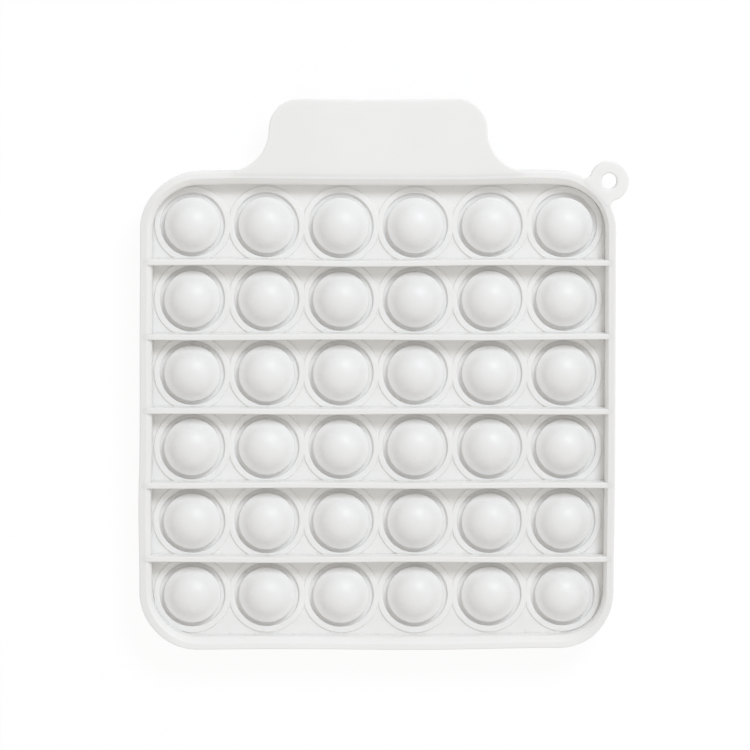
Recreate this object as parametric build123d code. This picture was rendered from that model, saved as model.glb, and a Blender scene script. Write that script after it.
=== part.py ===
from build123d import *
import math
import os

os.makedirs("parts", exist_ok=True)

# Playing grid: how many bubbles
ROWS = 6
COLUMNS = 6

# One bubble with the groove and the raised collar around it
DOME_RADIUS = 7.3
DOME_HEIGHT_SHARE = 0.89
DOME_WALL = 1.1
CAP_RADIUS_SHARE = 0.945
CAP_SLOPE = 57.0
LIP_TOP_SHARE = 0.3
LIP_ROUND = 0.25
CROWN_SPLIT_SHARE = 0.62
HINGE_THICKNESS = 0.8
HINGE_FILLET = 0.35
GROOVE_WIDTH = 1.15
COLLAR_WIDTH = 1.5
COLLAR_HEIGHT = 0.4
COLLAR_ROUND = 0.18

# The web that carries the bubbles, and the dividers between the rows
WEB_THICKNESS = 1.8
COLLAR_BRIDGE = 2.5
DIVIDER_LIP = 0.32
DIVIDER_CREST = 1.45
DIVIDER_DRAFT = 0.2
DIVIDER_ROUND = 0.3

# Rim wall around the web: its crest is narrow and its inner face leans outwards
RIM_HEIGHT = 13.0
SIDE_MARGIN = 2.3
END_MARGIN = 2.05
SIDE_DRAFT = 1.0
END_DRAFT = 1.55
SIDE_CREST = 1.78
END_CREST = 1.7
CORNER_RADIUS = 15.0
RIM_EDGE_ROUND = 0.4
CREST_CHAMFER = 0.35
EDGE_LIMIT_SHARE = 0.45

# Header tab on the far side, flush with the crest of the rim
TAB_WIDTH = 57.0
TAB_LENGTH = 18.9
TAB_THICKNESS = 4.0
TAB_CORNER_RADIUS = 8.5
TAB_FLARE_RADIUS = 9.7
TAB_FLARE_LIMIT_SHARE = 0.95
TAB_ROOT_SHARE = 0.7

# Hanging loop on the far right corner, flush with the crest of the rim
LOOP_RADIUS = 5.15
LOOP_HOLE_RADIUS = 2.05
LOOP_HOLE_ROUND = 0.4
LOOP_THICKNESS = 4.0
LOOP_REACH = 3.5
LOOP_NECK_RADIUS = 1.5
LOOP_ROOT = 0.5

# Sizes that follow from the ones above
middle = RIM_HEIGHT / 2
half_web = WEB_THICKNESS / 2
half_hinge = HINGE_THICKNESS / 2
dome_height = DOME_HEIGHT_SHARE * DOME_RADIUS
cap_radius = CAP_RADIUS_SHARE * DOME_RADIUS
cap_inside = cap_radius - DOME_WALL
cap_centre = dome_height - cap_radius
lip_top = LIP_TOP_SHARE * dome_height
hole_radius = DOME_RADIUS + GROOVE_WIDTH
collar_radius = hole_radius + COLLAR_WIDTH
collar_top = half_web + COLLAR_HEIGHT
half_divider = DIVIDER_CREST / 2 + DIVIDER_DRAFT
half_strip = hole_radius + DIVIDER_LIP
column_pitch = 2 * hole_radius + COLLAR_BRIDGE
row_pitch = 2 * (half_strip + half_divider)
column_at = [(c - (COLUMNS - 1) / 2) * column_pitch for c in range(COLUMNS)]
row_at = [((ROWS - 1) / 2 - r) * row_pitch for r in range(ROWS)]
half_width = column_at[-1] + hole_radius + SIDE_MARGIN
half_depth = row_at[0] + hole_radius + END_MARGIN
crest_half_width = half_width + SIDE_DRAFT
crest_half_depth = half_depth + END_DRAFT
outer_half_width = crest_half_width + SIDE_CREST
outer_half_depth = crest_half_depth + END_CREST
crest_corner = CORNER_RADIUS - min(SIDE_CREST, END_CREST)
web_corner = crest_corner - min(SIDE_DRAFT, END_DRAFT)
edge_round = min(RIM_EDGE_ROUND, EDGE_LIMIT_SHARE * min(SIDE_CREST, END_CREST))
crest_chamfer = min(CREST_CHAMFER, EDGE_LIMIT_SHARE * min(SIDE_CREST, END_CREST))
tab_flare = min(TAB_FLARE_RADIUS, TAB_FLARE_LIMIT_SHARE * (TAB_LENGTH - TAB_CORNER_RADIUS))


def rounded(half_x, half_y, radius, height=0):
    """A flat rounded rectangle at a height above the web's middle plane."""
    return Pos(0, 0, height) * RectangleRounded(2 * half_x, 2 * half_y, radius)


def on_cap(radius, height):
    """The point of the cap's outer or inner outline at a height above the web's middle plane."""
    return (math.sqrt(radius**2 - (height - cap_centre) ** 2), height)


def tab_outline():
    """The tab: two rounded far corners, and flares that run out along the rim."""
    side = TAB_WIDTH / 2
    root = outer_half_depth
    far = root + TAB_LENGTH
    flare_end = side + tab_flare
    flare_top = root + tab_flare
    corner_low = far - TAB_CORNER_RADIUS
    corner_in = side - TAB_CORNER_RADIUS
    half = math.sqrt(0.5)
    right = [
        Line((0, far), (corner_in, far)),
        ThreePointArc(
            (corner_in, far),
            (corner_in + half * TAB_CORNER_RADIUS, corner_low + half * TAB_CORNER_RADIUS),
            (side, corner_low),
        ),
        Line((side, corner_low), (side, flare_top)),
        ThreePointArc(
            (side, flare_top),
            (flare_end - half * tab_flare, flare_top - half * tab_flare),
            (flare_end, root),
        ),
        Line((flare_end, root), (flare_end, root - END_CREST)),
        Line((flare_end, root - END_CREST), (0, root - END_CREST)),
    ]
    face = make_face(Curve() + right + [mirror(edge, Plane.YZ) for edge in right])
    return face


def loop_places():
    """Centres of the rim's corner, of the loop, and of the two neck fillets between them."""
    corner = Vector(outer_half_width - CORNER_RADIUS, outer_half_depth - CORNER_RADIUS)
    reach = CORNER_RADIUS + LOOP_REACH
    along = CORNER_RADIUS + LOOP_NECK_RADIUS
    across = LOOP_RADIUS + LOOP_NECK_RADIUS
    spread = math.acos((reach**2 + along**2 - across**2) / (2 * reach * along))
    diagonal = math.pi / 4
    necks = []
    for turn in (diagonal - spread, diagonal + spread):
        necks.append(corner + Vector(math.cos(turn), math.sin(turn)) * along)
    centre = corner + Vector(math.cos(diagonal), math.sin(diagonal)) * reach
    return corner, centre, necks


def loop_outline():
    """The loop's disc and the neck that runs into the rim's corner in two fillets."""
    corner, centre, necks = loop_places()
    kite = make_face(Polyline(corner, necks[0], centre, necks[1], corner))
    for neck in necks:
        kite -= Pos(neck.X, neck.Y) * Circle(LOOP_NECK_RADIUS)
    return kite + Pos(centre.X, centre.Y) * Circle(LOOP_RADIUS)


def frame_solids():
    """Rim, tab and loop: moulded as one shape with one rounded outline, then parted."""
    corner, centre, necks = loop_places()
    block = extrude(rounded(outer_half_width, outer_half_depth, CORNER_RADIUS), middle, both=True)
    block = fillet(block.faces().sort_by(Axis.Z)[0].outer_wire().edges(), edge_round)
    tab_floor = middle - TAB_THICKNESS
    loop_floor = middle - LOOP_THICKNESS
    tab = extrude(Pos(0, 0, tab_floor) * tab_outline(), TAB_THICKNESS)
    loop = extrude(Pos(0, 0, loop_floor) * loop_outline(), LOOP_THICKNESS)
    whole = block + tab + loop
    whole = fillet(whole.faces().sort_by(Axis.Z)[-1].outer_wire().edges(), edge_round)

    # The tray inside the rim: a straight band at the web, leaning faces and a chamfer each side
    band = extrude(rounded(half_width, half_depth, web_corner), half_web, both=True)
    growth = [(0, 0, 0, half_web)]
    growth.append((SIDE_DRAFT, END_DRAFT, crest_corner - web_corner, middle - crest_chamfer))
    mouth = [size + crest_chamfer for size in growth[1]]
    growth.append(mouth)
    sections = [
        rounded(half_width + a, half_depth + b, web_corner + c, height).face()
        for a, b, c, height in growth
    ]
    upper = loft(sections, ruled=True)
    whole -= band + upper + mirror(upper, Plane.XY)

    # Parting boxes: the tab beyond the rim's outer face, the loop beyond a line across the corner
    tab_half = TAB_WIDTH / 2 + TAB_ROOT_SHARE * tab_flare
    tab_box = Pos(0, outer_half_depth, tab_floor) * Box(
        2 * tab_half, TAB_LENGTH, TAB_THICKNESS, align=(Align.CENTER, Align.MIN, Align.MIN)
    )
    loop_size = 2 * (LOOP_RADIUS + LOOP_REACH + LOOP_ROOT)
    loop_box = Box(loop_size, loop_size, LOOP_THICKNESS, align=(Align.MIN, Align.CENTER, Align.MIN))
    loop_box = Pos(CORNER_RADIUS - LOOP_ROOT, 0, loop_floor) * loop_box
    loop_box = Pos(corner.X, corner.Y) * Rot(0, 0, 45) * loop_box
    header_tab = whole & tab_box
    hanging_loop = whole & loop_box
    rim = whole - tab_box - loop_box

    hole = Pos(centre.X, centre.Y, loop_floor) * Cylinder(
        LOOP_HOLE_RADIUS, LOOP_THICKNESS, align=(Align.CENTER, Align.CENTER, Align.MIN)
    )
    hanging_loop -= hole
    bore = hanging_loop.faces().filter_by(GeomType.CYLINDER).filter_by(
        lambda f: abs(f.radius - LOOP_HOLE_RADIUS) < LOOP_HOLE_ROUND and f.center().Z < middle
    )
    bore = bore.sort_by_distance((centre.X, centre.Y, middle - LOOP_THICKNESS / 2))[0]
    mouths = bore.edges().filter_by(GeomType.CIRCLE)
    hanging_loop = fillet(mouths, min(LOOP_HOLE_ROUND, EDGE_LIMIT_SHARE * LOOP_THICKNESS))
    return rim, header_tab, hanging_loop


def divider_bar(rim, y):
    """One wall between two rows, thicker at the web, its ends cut to the rim's inner face."""
    crest = DIVIDER_CREST / 2
    upper = [(half_divider, 0), (half_divider, half_web), (crest, middle)]
    points = upper + [(-a, b) for a, b in reversed(upper)]
    half = make_face(Polyline(*points, points[0]))
    half = fillet(half.vertices().group_by(Axis.Y)[-1], min(DIVIDER_ROUND, EDGE_LIMIT_SHARE * crest))
    section = half + mirror(half, Plane.XZ)
    length = crest_half_width + crest_chamfer
    bar = extrude(Plane.YZ * section, length, both=True)
    return Pos(0, y, 0) * bar - rim


def collar_ring():
    """The raised ring around a bubble, the same on both faces of the web, rounded on top."""
    ring = Pos((hole_radius + collar_radius) / 2, 0) * Rectangle(COLLAR_WIDTH, 2 * collar_top)
    limit = EDGE_LIMIT_SHARE * min(COLLAR_WIDTH, COLLAR_HEIGHT)
    ring = fillet(ring.vertices(), min(COLLAR_ROUND, limit))
    return revolve(Plane.XZ * ring, Axis.Z)


def row_floor(row, ring):
    """The strip of web under one row, with a hole and a collar for each bubble."""
    y = row_at[row]
    far = half_depth if row == 0 else y + half_strip
    near = -half_depth if row == ROWS - 1 else y - half_strip
    strip = Pos(0, (far + near) / 2) * Rectangle(2 * half_width, far - near)
    outline = strip & rounded(half_width, half_depth, web_corner)
    sheet = extrude(outline, half_web, both=True)
    clip = extrude(outline, collar_top, both=True)
    rings = Part() + [Pos(x, y) * ring for x in column_at]
    hole = Cylinder(hole_radius, 2 * WEB_THICKNESS)
    return sheet + (rings & clip) - [Pos(x, y) * hole for x in column_at]


def bubble():
    """One bubble: a thin hinge in the groove, a flared skirt that folds, and the crown that is pressed."""
    slope = math.radians(CAP_SLOPE)
    split = CROWN_SPLIT_SHARE * dome_height
    foot = (DOME_RADIUS, half_hinge)
    lip = (DOME_RADIUS, lip_top)
    cap_end = on_cap(cap_radius, cap_centre + cap_radius * math.cos(slope))
    shoulder = on_cap(cap_radius, split)
    inner_shoulder = on_cap(cap_inside, split)
    inner_foot = on_cap(cap_inside, -half_hinge)
    skirt_face = make_face(
        [
            Line((hole_radius, -half_hinge), (hole_radius, half_hinge)),
            Line((hole_radius, half_hinge), foot),
            Line(foot, lip),
            TangentArc(cap_end, lip, tangent=(math.cos(slope), -math.sin(slope))),
            ThreePointArc(cap_end, on_cap(cap_radius, (cap_end[1] + split) / 2), shoulder),
            Line(shoulder, inner_shoulder),
            ThreePointArc(inner_shoulder, on_cap(cap_inside, split / 2), inner_foot),
            Line(inner_foot, (hole_radius, -half_hinge)),
        ]
    )
    lip_limit = EDGE_LIMIT_SHARE * (lip_top - half_hinge)
    corner = skirt_face.vertices().sort_by_distance(foot)[0]
    skirt_face = fillet([corner], min(HINGE_FILLET, EDGE_LIMIT_SHARE * GROOVE_WIDTH, lip_limit))
    corner = skirt_face.vertices().sort_by_distance(lip)[0]
    skirt_face = fillet([corner], min(LIP_ROUND, lip_limit))
    crown_face = make_face(
        [
            ThreePointArc(shoulder, on_cap(cap_radius, (split + dome_height) / 2), (0, dome_height)),
            Line((0, dome_height), (0, dome_height - DOME_WALL)),
            ThreePointArc(
                (0, dome_height - DOME_WALL),
                on_cap(cap_inside, (split + dome_height - DOME_WALL) / 2),
                inner_shoulder,
            ),
            Line(inner_shoulder, shoulder),
        ]
    )
    return revolve(Plane.XZ * skirt_face, Axis.Z), revolve(Plane.XZ * crown_face, Axis.Z)


def save(name, shapes):
    """Writes one node, lifted so that the board stands on the ground plane."""
    solids = [Pos(0, 0, middle) * solid for shape in shapes for solid in shape.solids()]
    for solid in solids:
        solid.label = name
    whole = solids[0] if len(solids) == 1 else Compound(label=name, children=solids)
    export_step(whole, os.path.join("parts", name + ".step"))


rim, header_tab, hanging_loop = frame_solids()
save("rim_frame", [rim])
save("header_tab", [header_tab])
save("hanging_loop", [hanging_loop])

for d in range(ROWS - 1):
    save(f"row_divider_{d + 1}", [divider_bar(rim, (row_at[d] + row_at[d + 1]) / 2)])

ring = collar_ring()
for r in range(ROWS):
    save(f"row_floor_{r + 1}", [row_floor(r, ring)])

skirt, crown = bubble()
for r, y in enumerate(row_at):
    save(f"bubble_skirts_row_{r + 1}", [Pos(x, y) * skirt for x in column_at])
    for c, x in enumerate(column_at):
        save(f"bubble_crown_r{r + 1}_c{c + 1}", [Pos(x, y) * crown])

print("outer width", 2 * outer_half_width, "outer depth", 2 * outer_half_depth)
print("pitch", column_pitch, row_pitch, "crown travel", (CROWN_SPLIT_SHARE + 1) * dome_height)
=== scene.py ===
# %% [markdown]
# # A push-bubble game board in white silicone
# The real board is one soft moulding: a rim around a tray, a plain tab, a hanging loop, walls between the rows,
# and thirty-six bubbles that turn inside out when pressed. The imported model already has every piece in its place.
# It could simply be coloured, but silicone has no ruler-straight edge and no sharp corner. So each piece is worked
# out again as a smooth surface in the same place, and stands for its plain node.

# %% Load the frame
import bpy
import numpy as np
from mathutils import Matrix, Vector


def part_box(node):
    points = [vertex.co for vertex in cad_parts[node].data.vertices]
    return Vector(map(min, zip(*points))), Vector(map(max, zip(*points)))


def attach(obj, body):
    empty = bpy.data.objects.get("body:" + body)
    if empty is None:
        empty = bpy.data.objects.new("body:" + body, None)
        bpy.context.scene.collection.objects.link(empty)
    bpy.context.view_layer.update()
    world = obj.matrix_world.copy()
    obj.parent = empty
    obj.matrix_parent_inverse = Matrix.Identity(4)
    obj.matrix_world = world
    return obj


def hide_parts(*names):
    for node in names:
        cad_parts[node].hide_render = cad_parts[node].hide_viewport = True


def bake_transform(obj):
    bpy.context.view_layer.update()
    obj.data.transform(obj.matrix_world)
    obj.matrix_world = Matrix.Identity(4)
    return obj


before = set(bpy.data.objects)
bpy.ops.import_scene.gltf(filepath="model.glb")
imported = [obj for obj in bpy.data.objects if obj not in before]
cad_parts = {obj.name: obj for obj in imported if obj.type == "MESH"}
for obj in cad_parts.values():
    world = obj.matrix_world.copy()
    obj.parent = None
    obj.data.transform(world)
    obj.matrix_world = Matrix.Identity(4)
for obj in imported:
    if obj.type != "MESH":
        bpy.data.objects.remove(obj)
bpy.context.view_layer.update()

# %% [markdown]
# ## Measuring the frame
# A maker takes sizes off the drawing before cutting anything. Typing every size again would work until the drawing
# changes, so what a node's box can tell is read from it here, and only what a box can't tell is typed further down.

# %% Read the main sizes from the nodes' boxes
MM = 0.001
ROWS = 6
COLUMNS = 6


def node_box(name):
    """A node's lowest and highest corner, as two arrays."""
    low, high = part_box(name)
    return np.array(low), np.array(high)


rim_low, rim_high = node_box("rim_frame")
outer = np.array([rim_high[0], -rim_low[1]])
crest_z = rim_high[2]
middle_z = crest_z / 2
tray = node_box("row_floor_1")[1][:2]
collar_top = node_box("row_floor_1")[1][2] - middle_z
print("outside", outer * 2, "tray", tray * 2, "rim height", crest_z)

# %% Read where the bubbles and the dividers are
crown_boxes = [[node_box(f"bubble_crown_r{r + 1}_c{c + 1}") for c in range(COLUMNS)] for r in range(ROWS)]
crowns = np.array(crown_boxes)
bubble_xy = crowns.mean(axis=2)[:, :, :2]
apex = crowns[0, 0, 1, 2] - middle_z
skirts_low, skirts_high = node_box("bubble_skirts_row_1")
hole_radius = (skirts_high[1] - skirts_low[1]) / 2
groove_height = middle_z - skirts_low[2]
column_pitch = bubble_xy[0, 1, 0] - bubble_xy[0, 0, 0]
print("bubble height", apex, "hole radius", hole_radius, "pitch", column_pitch)

# %% [markdown]
# ## The slack of silicone
# A thin rubber board never lies quite true: it springs out a little where it was squeezed in its packet, and its
# walls wander by a few tenths of a millimetre. Moving each piece by hand would open gaps between neighbours. One
# shared function bends space itself instead, so that whatever touches before still touches after.

# %% An S-curve
def ease(share):
    """The S-curve three share squared minus two share cubed, from nought to one and level outside."""
    share = np.clip(share, 0, 1)
    return share**2 * (3 - 2 * share)


# %% Slack, shared by all the pieces
BULGES = np.array([
    # centre x, centre y, push x, push y, reach, all in millimetres
    [-62, -26, -0.42, 0.0, 13],
    [-62, 50, 0.25, 0.0, 22],
    [-62, -50, -0.25, 0.0, 13],
    [62, -48, -0.30, 0.0, 22],
    [0, 61, 0.0, -0.42, 30],
    [-34, 60, 0.0, 0.18, 12],
    [-55, 60, 0.0, -0.30, 11],
    [38, 62, 0.0, 0.22, 10],
    [48, -62, 0.0, 0.30, 20],
    [62, 63, 0.05, -0.70, 14],
]) * MM
RIGHT_AND_FAR_LEAN = np.array([-0.28, 0.22]) * MM
LEFT_AND_NEAR_LEAN = np.array([0.0, -0.15]) * MM
LEAN_FROM, LEAN_TO = 56 * MM, 62 * MM
WANDER = 0.11 * MM
WANDER_LENGTH = 68 * MM
SAG = 0.10 * MM


def slack(points):
    """Adds to each point the push of every bulge, which falls off as a bell curve with the distance from its centre,
    the lean of each wall, a long sine along X that shifts its phase with Y, and a sine in height that grows from the
    table up."""
    x, y, z = np.moveaxis(points, -1, 0)
    away = np.stack([x, y], axis=-1)[..., None, :] - BULGES[:, :2]
    weight = np.exp(-(away**2).sum(axis=-1) / BULGES[:, 4] ** 2)
    lean = RIGHT_AND_FAR_LEAN * ease((points[..., :2] - LEAN_FROM) / (LEAN_TO - LEAN_FROM))
    lean += LEFT_AND_NEAR_LEAN * ease((-points[..., :2] - LEAN_FROM) / (LEAN_TO - LEAN_FROM))
    push = weight @ BULGES[:, 2:4] + lean
    wave = 2 * np.pi * x / WANDER_LENGTH + 3 * np.pi * y / WANDER_LENGTH
    lift = SAG * np.sin(2 * np.pi * (x - y) / WANDER_LENGTH) * np.clip(z / crest_z, 0, 1)
    return points + np.stack([push[..., 0], push[..., 1] + WANDER * np.sin(wave), lift], axis=-1)


print("bulges", len(BULGES), "largest push", abs(BULGES[:, 2:4]).max() / MM, "mm")

# %% [markdown]
# ## From arrays to a mesh
# Every piece below is a grid of points, worked out with whole arrays. Blender could loft or bevel its way there, but
# a formula says exactly where the surface is and can be read. These helpers join neighbouring points into faces,
# turn a shell outwards by the sign of its volume, and hand the arrays to Blender.

# %% Faces of a grid, and a shell turned outwards
def grid_faces(rows, columns, wrap_rows=False, wrap_columns=False):
    """Four-sided faces between neighbouring points of a grid, and over the seam where a direction is closed."""
    number = np.arange(rows * columns).reshape(rows, columns)
    if wrap_rows:
        number = np.concatenate([number, number[:1]])
    if wrap_columns:
        number = np.concatenate([number, number[:, :1]], axis=1)
    corners = [number[:-1, :-1], number[1:, :-1], number[1:, 1:], number[:-1, 1:]]
    return np.stack(corners, axis=-1).reshape(-1, 4)


def volume(points, faces):
    """A sixth of the triple products of each half of each face, (a cross b) dot c, added up: plus means outwards."""
    a, b, c, d = (points[faces[:, k]] for k in range(4))
    return (np.cross(a, b) * c + np.cross(a, c) * d).sum() / 6


# %% Arrays into a piece
finishes = {}


def add_piece(name, points, faces, slot, ends=()):
    """A mesh object from an array of points, an array of four-sided faces, and the rings that close its ends. Without
    such rings the faces alone are a closed shell, which is turned outwards."""
    points = points.reshape(-1, 3)
    if not len(ends) and volume(points, faces) < 0:
        faces = faces[:, ::-1]
    mesh = bpy.data.meshes.new(name)
    mesh.from_pydata(points.tolist(), [], faces.tolist() + [list(ring) for ring in ends])
    mesh.polygons.foreach_set("use_smooth", np.ones(len(mesh.polygons), bool))
    mesh.materials.append(finishes[slot])
    piece = bpy.data.objects.new(name, mesh)
    bpy.context.scene.collection.objects.link(piece)
    return piece


# %% [markdown]
# ## Rounded sections
# A mould is cut with round tools, so every edge of the moulding is a small arc. A Bevel modifier would do this edge
# by edge. Here the section is drawn with sharp corners first, and one function turns each corner on its own radius.
# It also adds a point just past each arc, which keeps the flat faces beside it flat in the shading.

# %% Turn the corners of a section
HOLD = 0.05 * MM


def unit(vectors):
    """Each vector divided by its length."""
    return vectors / np.linalg.norm(vectors, axis=-1, keepdims=True)


def round_corners(corners, radii, steps=5):
    """A closed outline with arcs for corners. An arc starts radius / tan(half the corner's angle) before its
    corner; its points run evenly in angle from that start, seen from the arc's centre, to the matching end."""
    corner = np.asarray(corners, float)
    radius = np.asarray(radii, float)[:, None]
    back = unit(np.roll(corner, 1, axis=0) - corner)
    ahead = unit(np.roll(corner, -1, axis=0) - corner)
    half = np.arccos(np.clip((back * ahead).sum(axis=1, keepdims=True), -1, 1)) / 2
    run = radius / np.tan(half)
    centre = corner + unit(back + ahead) * radius / np.sin(half)
    start, end = corner + back * run, corner + ahead * run
    share = np.linspace(0, 1, steps + 1)[None, :, None]
    sweep = (np.pi - 2 * half)[:, None]
    arms = np.sin((1 - share) * sweep) * (start - centre)[:, None] + np.sin(share * sweep) * (end - centre)[:, None]
    arcs = centre[:, None] + arms / np.sin(sweep)
    hold_points_or_grey_share = [(start + back * HOLD)[:, None], arcs, (end + ahead * HOLD)[:, None]]
    return np.concatenate(hold_points_or_grey_share, axis=1).reshape(-1, 2)


print("a turned square has", len(round_corners([(0, 0), (1, 0), (1, 1), (0, 1)], [0.1] * 4)), "points")

# %% [markdown]
# ## White silicone
# The board is filled white silicone with a satin skin: light goes a millimetre or so into it and comes back, which
# softens the shadows, and the skin carries a very fine grain from the mould, faint clouding, and the odd speck of
# dust that rubber picks up. A plain white shader would look like plaster. Noise on the piece's own coordinates gives
# the grain and the clouding at their real size, and scattered cells give the specks. The crests of the side walls
# and of the dividers are made a little grey: an attribute that such a piece keeps with its points says where, and
# is nought on all the others.

# %% Pattern helpers
def join(tree, source, output, target, socket):
    """One wire of a node tree."""
    tree.links.new(source.outputs[output], target.inputs[socket])


def noise(tree, place, size, detail):
    """A cloud pattern whose blobs are about size metres across."""
    node = tree.nodes.new("ShaderNodeTexNoise")
    node.inputs["Scale"].default_value = 1 / size
    node.inputs["Detail"].default_value = detail
    join(tree, place, "Object", node, "Vector")
    return node


def spread(tree, source, output, low, high, span=(0.3, 0.7)):
    """Carries a pattern's values from a span of its own range to another range."""
    node = tree.nodes.new("ShaderNodeMapRange")
    values = {"From Min": span[0], "From Max": span[1], "To Min": low, "To Max": high}
    for socket, value in values.items():
        node.inputs[socket].default_value = value
    join(tree, source, output, node, "Value")
    return node


def mix_colours(tree, source, output, first, second):
    """A mix of two colours by a pattern. Each is three numbers, or the socket of a mix made before."""
    node = tree.nodes.new("ShaderNodeMix")
    node.data_type = "RGBA"
    join(tree, source, output, node, 0)
    for socket, colour in zip((6, 7), (first, second)):
        if isinstance(colour, bpy.types.NodeSocket):
            tree.links.new(colour, node.inputs[socket])
        else:
            node.inputs[socket].default_value = (*colour, 1)
    return node.outputs[2]


# %% The silicone's colour
CLOUD_SIZE = 26 * MM
CLOUD_DETAIL = 3
SPECK_SPACING = 5.5 * MM
SPECK_RADIUS_SHARE = 0.022
SPECK_COLOUR = (0.50, 0.47, 0.44)
# How grey the marked crests of the side walls and the dividers are, as a share of the deep white.
CREST_GREY_SHADE = 0.955


def silicone_colour(tree, place, pale, deep):
    """Clouds between a pale and a deep white, greyed where the piece is marked, with specks of dust on top."""
    clouds = spread(tree, noise(tree, place, CLOUD_SIZE, CLOUD_DETAIL), "Fac", 0, 1)
    clouded = mix_colours(tree, clouds, "Result", pale, deep)
    crest_grey = tree.nodes.new("ShaderNodeAttribute")
    crest_grey.attribute_name = "crest_grey"
    greyed = mix_colours(tree, crest_grey, "Fac", clouded, CREST_GREY_SHADE * np.array(deep))
    cells = tree.nodes.new("ShaderNodeTexVoronoi")
    cells.inputs["Scale"].default_value = 1 / SPECK_SPACING
    join(tree, place, "Object", cells, "Vector")
    speck = spread(tree, cells, "Distance", 1, 0, (SPECK_RADIUS_SHARE / 2, SPECK_RADIUS_SHARE))
    return mix_colours(tree, speck, "Result", greyed, SPECK_COLOUR)


# %% The silicone finish
GRAIN_SIZE = 0.35 * MM
GRAIN_DEPTH = 0.006 * MM
GRAIN_DETAIL = 2
GLOSS_SIZE = CLOUD_SIZE / 6
GLOSS_DETAIL = 4
ROUGHNESS = (0.36, 0.45)
SILICONE_IOR = 1.41
SCATTER_TINT = (1.0, 0.97, 0.95)


def silicone(name, pale, deep, scatter, scatter_depth):
    """A satin white rubber: clouded colour with dust specks, uneven gloss, fine grain and light inside the skin."""
    material = bpy.data.materials.new(name)
    material.use_nodes = True
    tree = material.node_tree
    shader = tree.nodes["Principled BSDF"]
    place = tree.nodes.new("ShaderNodeTexCoord")
    tree.links.new(silicone_colour(tree, place, pale, deep), shader.inputs["Base Color"])
    gloss = spread(tree, noise(tree, place, GLOSS_SIZE, GLOSS_DETAIL), "Fac", *ROUGHNESS)
    join(tree, gloss, "Result", shader, "Roughness")
    bump = tree.nodes.new("ShaderNodeBump")
    bump.inputs["Distance"].default_value = GRAIN_DEPTH
    join(tree, noise(tree, place, GRAIN_SIZE, GRAIN_DETAIL), "Fac", bump, "Height")
    join(tree, bump, "Normal", shader, "Normal")
    shader.inputs["IOR"].default_value = SILICONE_IOR
    shader.inputs["Subsurface Weight"].default_value = scatter
    shader.inputs["Subsurface Radius"].default_value = SCATTER_TINT
    shader.inputs["Subsurface Scale"].default_value = scatter_depth
    return material


# %% White for the board and for its bubbles
BOARD_PALE, BOARD_DEEP = (0.880, 0.873, 0.858), (0.856, 0.848, 0.832)
BUBBLE_PALE, BUBBLE_DEEP = (0.866, 0.860, 0.850), (0.842, 0.835, 0.824)
BOARD_SCATTER, BUBBLE_SCATTER = 0.3, 0.2
BOARD_DEPTH, BUBBLE_DEPTH = 1.4 * MM, 1.0 * MM
finishes["board_silicone"] = silicone("board_silicone", BOARD_PALE, BOARD_DEEP, BOARD_SCATTER, BOARD_DEPTH)
finishes["bubble_silicone"] = silicone("bubble_silicone", BUBBLE_PALE, BUBBLE_DEEP, BUBBLE_SCATTER, BUBBLE_DEPTH)
print("finishes", sorted(finishes))

# %% [markdown]
# ## The rim
# The rim is a wall around the tray, the same above and below the web. Its crest is narrow, a bevel leads in from it,
# and below the bevel the wall stands almost upright, leaning just enough to leave its mould. It could be an extruded
# frame with bevels. As a surface it is one section carried around a rounded rectangle, whose half sizes and corner
# radius shrink with the section's inset. The right wall is steeper inside than the left, so its foot is moved out.

# %% A track around a rounded rectangle
def rounded_track(per_arc, per_side):
    """One walk around a rounded rectangle of any size, as shares: at each corner the direction turns a quarter
    while the corner's centre stays, and along each side the centre slides to the next while the direction stays."""
    signs = np.array([(1, 1), (-1, 1), (-1, -1), (1, -1)], float)
    turn = np.linspace(0, 1, per_arc)
    slide = np.linspace(0, 1, per_side + 2)[1:-1, None]
    centres, angles = [], []
    for corner, following in zip(range(4), (1, 2, 3, 0)):
        centres += [np.repeat(signs[corner : corner + 1], per_arc, axis=0)]
        centres += [signs[corner] + slide * (signs[following] - signs[corner])]
        angles += [corner + turn, np.full(per_side, corner + 1)]
    angle = np.concatenate(angles) * np.pi / 2
    return np.concatenate(centres), np.stack([np.cos(angle), np.sin(angle)], axis=-1)


# %% The wall's section
CREST = np.array([1.85, 1.6]) * MM
FOOT_IN = np.array([0.45, 0.0]) * MM
WEB_HALF = 0.9 * MM
CORNER_RADIUS = 15.0 * MM
CREST_ROUND = 0.35 * MM
INNER_EDGE_ROUND = 0.25 * MM
BEVEL_DROP = 1.35 * MM
BEVEL_ROUND = 1.6 * MM
WALL_DRAFT = 0.03 * MM
draft = outer - tray - CREST + FOOT_IN


def rim_section():
    """The side wall's section as inset from the outer face and height above the web's middle, with its corners turned:
    the crest, the bevel, the wall, and the same below."""
    inner, foot = CREST[0], CREST[0] + draft[0]
    bevel_end = (foot - WALL_DRAFT, middle_z - BEVEL_DROP)
    upper = [(0, middle_z), (inner, middle_z), bevel_end, (foot, WEB_HALF)]
    lower = [(a, -b) for a, b in reversed(upper)]
    edges = [CREST_ROUND, INNER_EDGE_ROUND, BEVEL_ROUND, INNER_EDGE_ROUND]
    return round_corners(upper + lower, edges + edges[::-1])


# %% Carry the section around the track
RIGHT_FOOT_OUT = 0.5 * MM
RIGHT_FROM, RIGHT_TO = 42 * MM, 56 * MM


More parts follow.
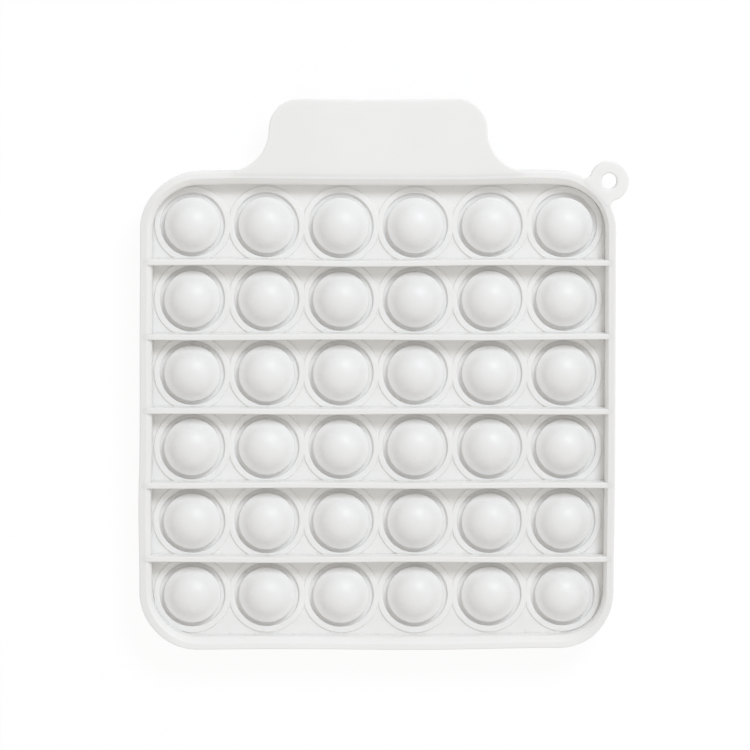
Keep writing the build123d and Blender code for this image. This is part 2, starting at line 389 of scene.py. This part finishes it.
def rim_points():
    """Point = slide share * (half size - radius) + radius * direction. Where the side wall has an inset, the end
    wall has the matching one, found between the crest's and the foot's, and the corner loses the smaller of both.
    On the right, points move out by the right foot's share of the way from the crest to the foot."""
    inset, height = rim_section().T
    known = np.array([0, CREST[0], CREST[0] + draft[0]])
    end_inset = np.interp(inset, known, [0, CREST[1], CREST[1] + draft[1]])
    shrink = np.interp(inset, known, [0, CREST.min(), CREST.min() + draft.min()])
    radius = (CORNER_RADIUS - shrink)[None, :, None]
    half = outer - np.stack([inset, end_inset], axis=-1)
    centre, direction = rounded_track(per_arc=20, per_side=28)
    plan = centre[:, None] * (half[None] - radius) + radius * direction[:, None]
    foot_share = np.interp(inset, known[1:], [0, 1])
    plan[..., 0] += RIGHT_FOOT_OUT * foot_share * ease((plan[..., 0] - RIGHT_FROM) / (RIGHT_TO - RIGHT_FROM))
    level = np.broadcast_to(middle_z + height, plan.shape[:2])
    return np.concatenate([plan, level[..., None]], axis=-1)


points = rim_points()
rim = add_piece("rim_skin", slack(points), grid_faces(*points.shape[:2], True, True), "board_silicone")
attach(rim, "board")
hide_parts("rim_frame")
print("rim", points.shape[0], "stations around,", points.shape[1], "points in the section")

# %% Grey the crest of the side walls
CREST_GREY_DEPTH = 0.09 * MM
GREY_FROM, GREY_TO = 50 * MM, 61 * MM


def mark_crest_grey(piece, height, amount):
    """Keeps with each point how grey it is: the amount on the crest, and by an S-curve nought a little below."""
    share = amount * ease((height - crest_z) / CREST_GREY_DEPTH + 1)
    piece.data.attributes.new("crest_grey", "FLOAT", "POINT").data.foreach_set("value", share.ravel())


# The crest's grey share, from nought towards the end walls to the full amount on the side walls.
hold_points_or_grey_share = ease((abs(points[..., 0]) - GREY_FROM) / (GREY_TO - GREY_FROM))
mark_crest_grey(rim, points[..., 2], hold_points_or_grey_share)
print("rim held at", round(float((hold_points_or_grey_share > 0).mean()), 2), "of its points")

# %% [markdown]
# ## The tab
# The plain tab on the far side is a plate, flush with the crest and flared into the rim. It could be cut from a flat
# shape and bevelled. Here its outline is a walk of lines and arcs, and from each point of that walk a section runs
# inwards over the top, down around the edge and back along the underside, to a line hidden inside the rim.

# %% Walk the tab's outline
TAB_WIDTH = 56.7 * MM
TAB_CORNER = 8.0 * MM
TAB_FLARE = 10.8 * MM
FLARE_SINK = 0.12 * MM
FLARE_SINK_SHARE = 0.35
FLARE_POINTS, CORNER_POINTS, EDGE_POINTS = 26, 22, 12
tab_low, tab_high = node_box("header_tab")


def arc(centre, radius, start, end, count):
    """Points on a circle from one angle to another, in degrees."""
    angle = np.radians(np.linspace(start, end, count))
    return centre + radius * np.stack([np.cos(angle), np.sin(angle)], axis=-1)


def tab_outline():
    """Left flare, left corner, far edge, and the same mirrored: a flare is a quarter circle outside the tab, whose
    start dips a little into the rim so that its end can't be seen."""
    side, root, far = TAB_WIDTH / 2, outer[1], tab_high[1]
    flare = arc(np.array([-side - TAB_FLARE, root + TAB_FLARE]), TAB_FLARE, -90, 0, FLARE_POINTS)
    flare[:, 1] -= FLARE_SINK * (1 - ease(np.linspace(0, 1, FLARE_POINTS) / FLARE_SINK_SHARE))
    corner = arc(np.array([-side + TAB_CORNER, far - TAB_CORNER]), TAB_CORNER, 180, 90, CORNER_POINTS)
    edge = np.linspace(corner[-1], [0, far], EDGE_POINTS)[1:]
    left = np.concatenate([flare, corner, edge])
    return np.concatenate([left, left[-2::-1] * [-1, 1]])


def inward(path):
    """Unit normals on the right of an open walk, from the differences between neighbouring points."""
    step = unit(np.gradient(path, axis=0))
    return np.stack([step[:, 1], -step[:, 0]], axis=-1)


# %% The rounded edge of a plate
PLATE_ROUND = 0.35 * MM
PLATE_UNDER_ROUND = 0.6 * MM


def plate_edge(low, high, steps=6):
    """A plate's edge as inset and height: a quarter circle at the top and a larger one at the underside."""
    angle = np.linspace(0, np.pi / 2, steps + 1)
    top = np.stack([PLATE_ROUND * (1 - np.sin(angle)), high - PLATE_ROUND * (1 - np.cos(angle))], axis=-1)
    turn = angle[::-1]
    under = [PLATE_UNDER_ROUND * (1 - np.sin(turn)), low + PLATE_UNDER_ROUND * (1 - np.cos(turn))]
    hold = HOLD * np.array([[1, 0]])
    return np.concatenate([top[:1] + hold, top, np.stack(under, axis=-1), [[PLATE_UNDER_ROUND, low]] + hold])


# %% Carry the edge along the outline
PLATE_LIFT = 0.006 * MM
ROOT_SINK = 1.15 * MM
RISE_RUN = np.array([0, 0.05, 0.3]) * MM
RISE_SHARE_LIMIT = np.array([0, 0.1, 0.4])
RISE = np.array([-0.5 * MM, -0.02 * MM, PLATE_LIFT])
FLARE_DROP = 0.06 * MM
FLARE_DROP_RUN = 2.5 * MM


def tab_points(stations=9):
    """Edge points stand off the outline along its inward normal; from the last of them on each face, straight runs
    go to a spine inside the rim, where places are spread as the outline's length is. The top comes out of the rim's
    crest at a slant too slight to see, and the two ends of the flares drop a little, so that they end inside it."""
    outline = tab_outline()
    inset, height = plate_edge(tab_low[2], crest_z + PLATE_LIFT).T
    edge = outline[:, None] + inward(outline)[:, None] * inset[None, :, None]
    length = np.concatenate([[0], np.cumsum(np.linalg.norm(np.diff(outline, axis=0), axis=1))])
    share = length / length[-1]
    spine_x = np.interp(share, [0, 1], outline[[0, -1], 0])
    spine = np.stack([spine_x, np.full_like(spine_x, outer[1] - ROOT_SINK)], axis=-1)[:, None]
    run = np.linspace(0, 1, stations)[1:-1]
    across = edge[:, :1] - spine
    rising = np.minimum(RISE_RUN / np.linalg.norm(across, axis=-1), RISE_SHARE_LIMIT)
    rising = np.concatenate([rising, rising[:, -1:] + run * (1 - rising[:, -1:])], axis=1)
    over = spine + rising[..., None] * across
    under = edge[:, -1:] + run[None, :, None] * (spine - edge[:, -1:])
    plan = np.concatenate([over, edge, under], axis=1)
    top = np.concatenate([crest_z + RISE, np.full(len(run), height[0])])
    level = np.concatenate([top, height, np.full(len(run), height[-1])])
    from_end = np.minimum(length, length[-1] - length)
    drop = FLARE_DROP * (1 - ease(from_end / FLARE_DROP_RUN))
    return np.concatenate([plan, (level - drop[:, None])[..., None]], axis=-1)


points = tab_points()
count, around = points.shape[:2]
faces = grid_faces(count, around, wrap_columns=True)
ends = [np.arange(around)[::-1], np.arange(around) + (count - 1) * around]
tab = add_piece("tab_skin", slack(points), faces, "board_silicone", ends)
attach(tab, "board")
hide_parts("header_tab")
print("tab", count, "stations,", around, "points in the section")

# %% [markdown]
# ## The hanging loop
# A small ring on the far right corner takes a key ring or a cord. It could be a disc with a hole bored through. Here it
# is a ring of rays around the hole: each ray reaches the disc's edge, or, towards the board, the fillet of the neck,
# or a line hidden in the rim. One section goes out along the ray, down the edge, back underneath and up the bore.

# %% How far each ray reaches
LOOP_RADIUS = 5.15 * MM
NECK_RADIUS = 1.5 * MM
LOOP_SINK = 1.6 * MM
LOOP_ROOT_TURN = np.radians(225)
ROOT_EASE = np.radians(8)
loop_low, loop_high = node_box("hanging_loop")
loop_centre = loop_high[:2] - LOOP_RADIUS
rim_centre = outer - CORNER_RADIUS


def loop_reach(angle):
    """A ray's length: the disc's radius, then, towards the board, the near side of the neck's fillet, d cos(a) minus
    the root of r squared minus (d sin(a)) squared for a circle d away and a off the ray, then a line in the rim."""
    span = np.linalg.norm(loop_centre - rim_centre)
    near, across = LOOP_RADIUS + NECK_RADIUS, CORNER_RADIUS + NECK_RADIUS
    neck_turn = np.arccos((near**2 + span**2 - across**2) / (2 * near * span))
    graze = np.arcsin(NECK_RADIUS / near)
    off = abs((angle - LOOP_ROOT_TURN + np.pi) % (2 * np.pi) - np.pi)
    past = np.clip(neck_turn - off, 0, graze)
    neck = near * np.cos(past) - np.sqrt(np.clip(NECK_RADIUS**2 - (near * np.sin(past)) ** 2, 0, None))
    share = np.clip((neck_turn - graze - off) / ROOT_EASE, 0, 1)
    first = near * np.cos(graze) * np.cos(neck_turn - graze)
    line = first + ease(share) * (span - CORNER_RADIUS + LOOP_SINK - first)
    return np.where(share > 0, line / np.cos(np.minimum(off, neck_turn)), neck)


# %% Carry the ring's section around the hole
HOLE_RADIUS = 2.05 * MM
MOUTH_ROUND = 0.45 * MM


def loop_points(count=144, stations=5, mouth_steps=5):
    """Point = centre + ray direction * distance. The distances go from the bore's mouth to the edge, where the
    plate's rounded edge takes over, and back; the bore has a quarter circle at each mouth."""
    angle = np.linspace(0, 2 * np.pi, count, endpoint=False)
    ray = np.stack([np.cos(angle), np.sin(angle)], axis=-1)
    outline = loop_centre + ray * loop_reach(angle)[:, None]
    high, low = crest_z + PLATE_LIFT, loop_low[2]
    inset, height = plate_edge(low, high).T
    edge = outline[:, None] - ray[:, None] * inset[None, :, None]
    turn = np.linspace(0, np.pi / 2, mouth_steps + 1)
    mouth_r = HOLE_RADIUS + MOUTH_ROUND * (1 - np.sin(turn[::-1]))
    mouth_drop = MOUTH_ROUND * (1 - np.cos(turn[::-1]))
    bore_r = np.concatenate([mouth_r[::-1], mouth_r])
    bore_z = np.concatenate([(low + mouth_drop)[::-1], high - mouth_drop])
    bore = loop_centre + ray[:, None] * bore_r[None, :, None]
    run = np.linspace(0, 1, stations + 2)[None, 1:-1, None]
    over = bore[:, -1:] + run * (edge[:, :1] - bore[:, -1:])
    under = edge[:, -1:] + run * (bore[:, :1] - edge[:, -1:])
    plan = np.concatenate([bore, over, edge, under], axis=1)
    level = np.concatenate([bore_z, np.full(stations, high), height, np.full(stations, low)])
    return np.concatenate([plan, np.broadcast_to(level, plan.shape[:2])[..., None]], axis=-1)


points = loop_points()
loop = add_piece("loop_skin", slack(points), grid_faces(*points.shape[:2], True, True), "board_silicone")
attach(loop, "board")
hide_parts("hanging_loop")
print("loop", points.shape[0], "rays,", points.shape[1], "points in the section")

# %% [markdown]
# ## The dividers
# Five walls keep the rows apart. Each is a little thicker at the web than at its two crests, and its ends run into the
# rim. A stretched box would do for a ruler-straight one. Here its rounded section is carried along X in many steps, so
# that the slack can bend it. The crests are marked to be made a little grey, like the rim's.

# %% Carry the divider's section along X
DIVIDER_CREST = 1.45 * MM
DIVIDER_ROUND = 0.28 * MM
END_SINK = 0.6 * MM
END_RUN = 0.2 * MM
END_SHRINK = 0.1
DIVIDER_CREST_GREY = 0.6


def divider_points(y, half_foot, steps=60):
    """The section, as offset along Y and height, repeated at even steps of X from rim to rim; the two ends shrink
    towards the web inside the rim, so that no line shows on its crest."""
    top = middle_z + PLATE_LIFT
    right = [(DIVIDER_CREST / 2, -middle_z), (half_foot, 0), (DIVIDER_CREST / 2, top)]
    section = round_corners(right + [(-a, b) for a, b in right[::-1]], [DIVIDER_ROUND] * 6)
    reach = tray[0] + draft[0] + END_SINK
    flat = reach - END_RUN
    half = np.concatenate([[reach, flat], np.linspace(flat - HOLD, 0, steps // 2)])
    x = np.concatenate([-half, half[-2::-1]])[:, None]
    height = section[:, 1] * (1 - END_SHRINK * (abs(x) > flat))
    return np.stack(np.broadcast_arrays(x, y + section[:, 0], middle_z + height), axis=-1)


for d in range(1, ROWS):
    low, high = node_box(f"row_divider_{d}")
    points = divider_points((low[1] + high[1]) / 2, (high[1] - low[1]) / 2)
    count, around = points.shape[:2]
    ends = [np.arange(around), np.arange(around)[::-1] + (count - 1) * around]
    faces = grid_faces(count, around, wrap_columns=True)[:, ::-1]
    divider = add_piece(f"divider_skin_{d}", slack(points), faces, "board_silicone", ends)
    # The divider's crest is greyed too, by a smaller amount than the rim's.
    mark_crest_grey(divider, points[..., 2], DIVIDER_CREST_GREY)
    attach(divider, "board")
    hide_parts(f"row_divider_{d}")
print("dividers", ROWS - 1, "with", around, "points in the section")

# %% [markdown]
# ## The row floors
# Under each row lies a strip of thin web. Around every bubble it rises, on both faces, into a flat collar that runs
# into its neighbours and is cut off by the dividers. A Boolean of rings and plates would leave ragged faces. Here the
# strip is six cells, one for each bubble, and each cell is rays from the bubble's hole to the cell's edge, with the
# collar as a height over the distance. Cells share their edge points, so they weld into one shell.

# %% The collar's height over the distance
COLLAR_WIDTH = 1.5 * MM
COLLAR_EDGE = 0.26 * MM
COLLAR_OUTER_EDGE = 0.16 * MM
COLLAR_SLOPE = 0.16 * MM
COLLAR_FOOT = 0.12 * MM


def collar_profile():
    """Distance and height from the hole's edge: up around the edge, over the flat top, and down to the web. A closed
    outline is turned at all its corners, and of these the collar's own three are kept."""
    outside = hole_radius + COLLAR_WIDTH
    foot = outside + COLLAR_SLOPE
    run = foot + COLLAR_FOOT * 2
    collar = [(hole_radius, collar_top), (outside, collar_top), (foot, WEB_HALF)]
    corners = [(hole_radius, 0), *collar, (run, WEB_HALF), (run, 0)]
    radii = [HOLD, COLLAR_EDGE, COLLAR_OUTER_EDGE, COLLAR_FOOT, HOLD, HOLD]
    outline = round_corners(corners, radii).reshape(len(corners), -1, 2)
    return outline[1 : 1 + len(collar)].reshape(-1, 2).T


collar_r, collar_z = collar_profile()
print("collar from", collar_r[0], "to", collar_r[-1], "height", collar_z.max())

# %% How far a floor reaches
FLOOR_SINK = 0.35 * MM


def edge_distance(angle, west, east, south, north):
    """A ray's length to the sides of a rectangle around it: the least of side / cosine and side / sine."""
    x, y = np.cos(angle), np.sin(angle)
    tiny = 1e-9
    to_x = np.where(x > 0, east, west) / np.where(abs(x) < tiny, tiny, x)
    to_y = np.where(y > 0, north, south) / np.where(abs(y) < tiny, tiny, y)
    return np.minimum(np.where(abs(x) < tiny, np.inf, to_x), np.where(abs(y) < tiny, np.inf, to_y))


def corner_distance(angle, limit, centre, radius):
    """The same for the tray's round corners: the far side of a circle, where the ray ends past its centre."""
    ray = np.stack([np.cos(angle), np.sin(angle)], axis=-1)
    for sign in np.array([(1, 1), (-1, 1), (-1, -1), (1, -1)]):
        away = sign * (tray + FLOOR_SINK - radius) - centre
        past = ((ray * limit[:, None] - away) * sign > 0).all(axis=1)
        along = ray @ away
        reach = along + np.sqrt(np.clip(along**2 - away @ away + radius**2, 0, None))
        limit = np.where(past, np.minimum(limit, reach), limit)
    return limit


# %% The points of a cell
RAYS = 96
ANGLE_DIGITS = 6
WEB_STEPS = 6
COLLAR_LIMIT_SHARE = 0.93
web_corner = CORNER_RADIUS - CREST.min() - draft.min() + FLOOR_SINK


def cell_points(centre, sides):
    """Ray by ray: over the collar's distances, squeezed where the edge is near, on to the edge along the web, and the
    same underneath, with the hole's wall between the two faces."""
    west, east, south, north = sides
    corners = np.arctan2([north, north, south, south], [east, west, west, east]) % (2 * np.pi)
    even = np.arange(RAYS) * 2 * np.pi / RAYS
    angle = np.unique(np.round(np.concatenate([even, corners]), ANGLE_DIGITS))
    limit = corner_distance(angle, edge_distance(angle, *sides), centre, web_corner)[:, None]
    squeeze = np.minimum(1, COLLAR_LIMIT_SHARE * (limit - hole_radius) / (collar_r[-1] - hole_radius))
    over = hole_radius + (collar_r - hole_radius)[None] * squeeze
    share = np.linspace(0, 1, WEB_STEPS + 1)[None, 1:]
    distance = np.concatenate([over, over[:, -1:] + share * (limit - over[:, -1:])], axis=1)
    height = np.interp(distance, collar_r, collar_z)
    both = np.concatenate([distance[:, ::-1], distance], axis=1)
    level = np.concatenate([height[:, ::-1], -height], axis=1)
    x = centre[0] + both * np.cos(angle)[:, None]
    y = centre[1] + both * np.sin(angle)[:, None]
    return np.stack([x, y, middle_z + level], axis=-1)


# %% The faces of a cell
SAME_LINE = 0.001 * MM


def cell_faces(points, shared_x):
    """The grid's faces, and a wall between the two faces' edges, left out along sides that meet another cell."""
    rays, around = points.shape[:2]
    faces = grid_faces(rays, around, wrap_rows=True)
    first = np.arange(rays) * around
    following = np.roll(first, -1)
    wall = np.stack([first, first + around - 1, following + around - 1, following], axis=-1)
    edge_x = points[:, 0, 0]
    near = np.isclose(edge_x[:, None], shared_x, atol=SAME_LINE)
    joined = (near & np.roll(near, -1, axis=0)).any(axis=1)
    return np.concatenate([faces, wall[~joined]])


# %% Weld the cells of each row
WELD = 0.002 * MM


def weld(points, faces):
    """Points that round to the same step become one, and the faces take the new numbers."""
    key = np.round(points / WELD).astype(int)
    kept, number = np.unique(key, axis=0, return_index=True, return_inverse=True)[1:]
    return points[kept], number.reshape(-1)[faces]


def floor_shell(row):
    """The cells of a row side by side, each with the sides it has: halfway to a neighbour, or sunk into a wall."""
    low, high = node_box(f"row_floor_{row + 1}")
    south, north = (low[1], high[1]) - bubble_xy[row, 0, 1] + np.array([-FLOOR_SINK, FLOOR_SINK])
    between = (bubble_xy[row, 1:, 0] + bubble_xy[row, :-1, 0]) / 2
    lines = np.concatenate([[-tray[0] - FLOOR_SINK], between, [tray[0] + FLOOR_SINK]])
    points, faces, total = [], [], 0
    for column in range(COLUMNS):
        centre = bubble_xy[row, column]
        sides = (lines[column] - centre[0], lines[column + 1] - centre[0], south, north)
        cell = cell_points(centre, sides)
        faces.append(cell_faces(cell, between) + total)
        points.append(cell.reshape(-1, 3))
        total += len(points[-1])
    return weld(np.concatenate(points), np.concatenate(faces))


for row in range(ROWS):
    points, faces = floor_shell(row)
    floor_piece = add_piece(f"floor_skin_{row + 1}", slack(points), faces, "board_silicone")
    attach(floor_piece, "board")
    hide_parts(f"row_floor_{row + 1}")
print("floors", ROWS, "of", len(points), "points each")

# %% [markdown]
# ## The bubbles
# A bubble is a thin dome on a hinge that lies in a groove. Its crown slides on a joint and its skirt folds, so it must
# be one sheet that bends between the board and the crown. Two shells, inside and outside, would cross each other when
# the dome turns inside out. So only the outer face is worked out, as a profile turned about the bubble's axis, and
# a live Solidify gives it its wall in every pose.

# %% The cap and the arcs of a bubble's profile
CAP_END = 5.35 * MM
CAP_SLOPE = np.radians(50)
CAP_POWER = 1.25
CAP_POINTS = 24


def cap_curve():
    """Distance and height from the cap's edge to the apex. The slope grows from nought as a power of the distance, and
    the fall is the sum of its tangents, by the trapezium rule."""
    share = np.linspace(0, 1, CAP_POINTS)
    grade = np.tan(CAP_SLOPE * share**CAP_POWER)
    fall = np.concatenate([[0], np.cumsum((grade[1:] + grade[:-1]) / 2)]) * CAP_END / (CAP_POINTS - 1)
    return np.stack([CAP_END * share, apex - fall], axis=-1)[::-1]


def turned(centre, radius, start, end, count):
    """Points of an arc in the profile, from one angle to another."""
    angle = np.linspace(start, end, count)
    return np.array(centre) + radius * np.stack([np.cos(angle), np.sin(angle)], axis=-1)


def flare_arc(cap_end, lip):
    """The circle that leaves the cap without a kink and meets the lip: its radius is the gap's length squared over
    twice its share along the cap's normal. Gives the centre, the radius and the slope at the lip."""
    normal = np.array([np.sin(CAP_SLOPE), np.cos(CAP_SLOPE)])
    gap = lip - cap_end
    radius = gap @ gap / (2 * gap @ normal)
    centre = cap_end + radius * normal
    return centre, radius, np.arctan2(*(centre - lip))


# %% The whole profile of a bubble
LIP_RADIUS = 7.3 * MM
LIP_TOP = 2.55 * MM
LIP_ROUND = 0.25 * MM
HINGE_FILLET = 0.35 * MM
GROOVE_FILLET = 0.25 * MM
WALL_SINK = 0.03 * MM
GROOVE_POINTS, FOOT_POINTS, LIP_POINTS, HOLLOW_POINTS = 6, 7, 6, 9


def bubble_profile():
    """Distance and height: down the groove's outer fillet, along its floor, up the foot's fillet and the lip's wall,
    around the lip, along the hollow flare, and over the cap."""
    groove_centre = (hole_radius + WALL_SINK - GROOVE_FILLET, groove_height + GROOVE_FILLET)
    groove = turned(groove_centre, GROOVE_FILLET, 0, -np.pi / 2, GROOVE_POINTS)
    foot_centre = (LIP_RADIUS + HINGE_FILLET, groove_height + HINGE_FILLET)
    foot = turned(foot_centre, HINGE_FILLET, -np.pi / 2, -np.pi, FOOT_POINTS)
    cap = cap_curve()
    centre, radius, slope = flare_arc(cap[0], np.array([LIP_RADIUS, LIP_TOP]))
    lip_z = LIP_TOP - LIP_ROUND * (1 - np.sin(slope)) / np.cos(slope)
    lip = turned((LIP_RADIUS - LIP_ROUND, lip_z), LIP_ROUND, 0, np.pi / 2 - slope, LIP_POINTS)
    begin = slope + LIP_ROUND / radius
    hollow = turned(centre, radius, -np.pi / 2 - begin, -np.pi / 2 - CAP_SLOPE, HOLLOW_POINTS)
    return np.concatenate([groove, foot, lip, hollow, cap[1:-1]])


profile = bubble_profile()
floor_width = profile[GROOVE_POINTS - 1, 0] - profile[GROOVE_POINTS, 0]
print("bubble profile", len(profile), "points, groove floor", floor_width, "wide")

# %% [markdown]
# ### No two alike
# Domes cool unevenly, and each has been pressed a different number of times. One mesh used thirty-six times would look
# stamped. So every dome is turned from the same profile, but is drawn out and leaned over by a little chance of its
# own, the same in every run.

# %% Uneven bubbles
TURNS = 72
OVAL = 0.008
LEAN = 0.12 * MM
uneven = np.random.default_rng(36)


def bubble_points(centre):
    """Point = centre + (distance * cosine, distance * sine, height), with the top leaned over and the dome drawn out
    a little one way, more the higher it is, and the apex as one last point."""
    direction, oval = uneven.uniform(0, np.pi), uneven.uniform(0, OVAL)
    lean = uneven.uniform(-LEAN, LEAN, 2)
    angle = np.linspace(0, 2 * np.pi, TURNS, endpoint=False)
    stretch = 1 + oval * np.cos(2 * (angle - direction))
    share = np.clip((profile[:, 1] - groove_height) / (apex - groove_height), 0, 1)
    distance = profile[:, :1] * (1 + (stretch[None] - 1) * np.sqrt(share)[:, None])
    x = centre[0] + distance * np.cos(angle) + (lean[0] * share**2)[:, None]
    y = centre[1] + distance * np.sin(angle) + (lean[1] * share**2)[:, None]
    z = np.broadcast_to(middle_z + profile[:, 1:], x.shape)
    sides = np.stack([x, y, z], axis=-1).reshape(-1, 3)
    return np.concatenate([sides, [[*(centre + lean), middle_z + apex]]])


# %% [markdown]
# ### One sheet
# The foot of a bubble stays in its groove and the top goes with the crown. The sheet could be parted between the two,
# but a real one has no seam. So each bubble is one sheet, from the groove to the apex.

# %% The faces of a bubble
apex_number = len(profile) * TURNS
last_ring = np.arange(TURNS) + (len(profile) - 1) * TURNS
cap_faces = np.stack([last_ring, np.roll(last_ring, -1), np.full(TURNS, apex_number)], axis=-1)
side_faces = grid_faces(len(profile), TURNS, wrap_columns=True)[:, ::-1]
print("faces of a bubble", len(side_faces) + len(cap_faces))

# %% Turn each bubble and give it its wall
BUBBLE_WALL = 0.9 * MM

for row in range(ROWS):
    for column in range(COLUMNS):
        name = f"r{row + 1}_c{column + 1}"
        centre = bubble_xy[row, column]
        points = slack(bubble_points(centre))
        bubble = add_piece(f"bubble_skin_{name}", points, side_faces, "bubble_silicone", cap_faces)
        wall = bubble.modifiers.new("wall", "SOLIDIFY")
        wall.thickness = BUBBLE_WALL
        wall.offset = -1
        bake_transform(bubble)
        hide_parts(f"bubble_crown_{name}", f"bubble_skirts_row_{row + 1}")
print("bubbles", ROWS * COLUMNS, "of", apex_number + 1, "points each")

# %% [markdown]
# ## The table
# The board lies on a white table under studio light. A lit white plane alone would come out grey, and more light would
# burn out the board. So the table shows rays from the camera mostly its own white, and keeps a share of real
# shading, which carries the shadow.

# %% Rays that see a surface directly
def seen_directly(tree):
    """One for rays from the camera, mirrors and glass, and nought for the light that bounces about."""
    path = tree.nodes.new("ShaderNodeLightPath")
    total, output = path, "Is Camera Ray"
    for kind in ("Is Glossy Ray", "Is Transmission Ray"):
        both = tree.nodes.new("ShaderNodeMath")
        both.operation = "ADD"
        both.use_clamp = True
        join(tree, total, output, both, 0)
        join(tree, path, kind, both, 1)
        total, output = both, 0
    return total


# %% A white finish that keeps the shadow
TABLE_PAINT = (0.9, 0.9, 0.9)
SHADOW_SHARE = 0.10
WHITE_LEVEL = 1.015


def table_finish():
    """Pale diffuse paint, of which the camera sees a share, with plain white for the rest."""
    material = bpy.data.materials.new("table_white")
    material.use_nodes = True
    tree = material.node_tree
    tree.nodes.clear()
    paint = tree.nodes.new("ShaderNodeBsdfDiffuse")
    paint.inputs["Color"].default_value = (*TABLE_PAINT, 1)
    white = tree.nodes.new("ShaderNodeEmission")
    white.inputs["Strength"].default_value = WHITE_LEVEL
    share = tree.nodes.new("ShaderNodeMath")
    share.operation = "MULTIPLY"
    share.inputs[1].default_value = 1 - SHADOW_SHARE
    join(tree, seen_directly(tree), 0, share, 0)
    mix = tree.nodes.new("ShaderNodeMixShader")
    join(tree, share, 0, mix, 0)
    join(tree, paint, 0, mix, 1)
    join(tree, white, 0, mix, 2)
    join(tree, mix, 0, tree.nodes.new("ShaderNodeOutputMaterial"), "Surface")
    return material


# %% Lay the table
TABLE_SIZE = 3.0
finishes["table"] = table_finish()
span = np.linspace(-TABLE_SIZE / 2, TABLE_SIZE / 2, 2)
corner_x, corner_y = np.meshgrid(span, span)
table_mesh = bpy.data.meshes.new("table_top")
table_corners = np.stack([corner_x, corner_y, np.zeros((2, 2))], axis=-1).reshape(-1, 3)
table_mesh.from_pydata(table_corners.tolist(), [], [(0, 1, 3, 2)])
table_mesh.materials.append(finishes["table"])
table = bpy.data.objects.new("table_top", table_mesh)
bpy.context.scene.collection.objects.link(table)
print("table", TABLE_SIZE, "m wide")

# %% [markdown]
# ## Light
# The board is lit by a slightly cool soft box high over its far right, by a weak wide lamp low over the near side, and
# by the warm white room around it. Lamps alone would leave hard edges in the shadows. An even room fills them with no
# second set of shadows, and the shares are easy to read: the room gives a flat surface about three fifths of its
# light, the box a third, and the near lamp the little that is left, which keeps the near flanks of the domes bright.

# %% The room
ROOM_LEVEL = 0.595
ROOM_COLOUR = (1.02, 1.0, 0.975)
world = bpy.data.worlds.new("room")
bpy.context.scene.world = world
world.use_nodes = True
tree = world.node_tree
tree.nodes.clear()
room = tree.nodes.new("ShaderNodeBackground")
room.inputs["Strength"].default_value = ROOM_LEVEL
room.inputs["Color"].default_value = (*ROOM_COLOUR, 1)
backdrop = tree.nodes.new("ShaderNodeBackground")
backdrop.inputs["Color"].default_value = (1, 1, 1, 1)
mix = tree.nodes.new("ShaderNodeMixShader")
join(tree, seen_directly(tree), 0, mix, 0)
join(tree, room, 0, mix, 1)
join(tree, backdrop, 0, mix, 2)
join(tree, mix, 0, tree.nodes.new("ShaderNodeOutputWorld"), "Surface")
print("room level", ROOM_LEVEL)

# %% Place the lamps
LAMP_DISTANCE = 2.0
BOX_COLOUR = (0.938, 1.0, 1.07)
BOX_POWER, FILL_POWER = 17.0, 3.2
BOX_SIZE, FILL_SIZE = 0.75, 1.0
BOX_TURN, FILL_TURN = np.radians(61), np.radians(276)
BOX_RISE, FILL_RISE = np.radians(50), np.radians(36)


def add_lamp(name, power, size, turn, rise, colour):
    """A round soft lamp at a set distance, turned and raised as told, and facing the origin."""
    light = bpy.data.lights.new(name, "AREA")
    light.energy, light.shape, light.size, light.color = power, "DISK", size, colour
    lamp = bpy.data.objects.new(name, light)
    bpy.context.scene.collection.objects.link(lamp)
    flat = np.cos(rise)
    lamp.location = LAMP_DISTANCE * np.array([flat * np.cos(turn), flat * np.sin(turn), np.sin(rise)])
    lamp.rotation_euler = (np.pi / 2 - rise, 0, np.pi / 2 + turn)
    return lamp


for lamp in (
    add_lamp("soft_box", BOX_POWER, BOX_SIZE, BOX_TURN, BOX_RISE, BOX_COLOUR),
    add_lamp("fill", FILL_POWER, FILL_SIZE, FILL_TURN, FILL_RISE, ROOM_COLOUR),
):
    print(lamp.name, "at", np.round(lamp.location, 2))

# %% [markdown]
# ## Camera
# The photograph looks almost straight down from well over a metre, with the camera a little towards the tab. A camera
# could be set by eye. Here the aim, the distance and the tilt are the values that put the rim, the tab and the domes on
# their places in the picture.

# %% The camera of the photograph
SENSOR_WIDTH_IN_MM = 36
PICTURE_WIDTH = 0.1957
DISTANCE = 1.336
TILT = np.radians(4.3)
AIM = np.array([-0.806, 9.187, 8.5]) * MM

camera_data = bpy.data.cameras.new("camera")
camera_data.sensor_width = SENSOR_WIDTH_IN_MM
camera_data.lens = camera_data.sensor_width * DISTANCE / PICTURE_WIDTH
camera = bpy.data.objects.new("camera", camera_data)
bpy.context.scene.collection.objects.link(camera)
camera.location = AIM + DISTANCE * np.array([0, np.sin(TILT), np.cos(TILT)])
camera.rotation_euler = (-TILT, 0, 0)
bpy.context.scene.camera = camera
bpy.context.scene.view_settings.view_transform = "Standard"
print("camera", DISTANCE, "m away, lens", round(camera_data.lens, 1), "mm")
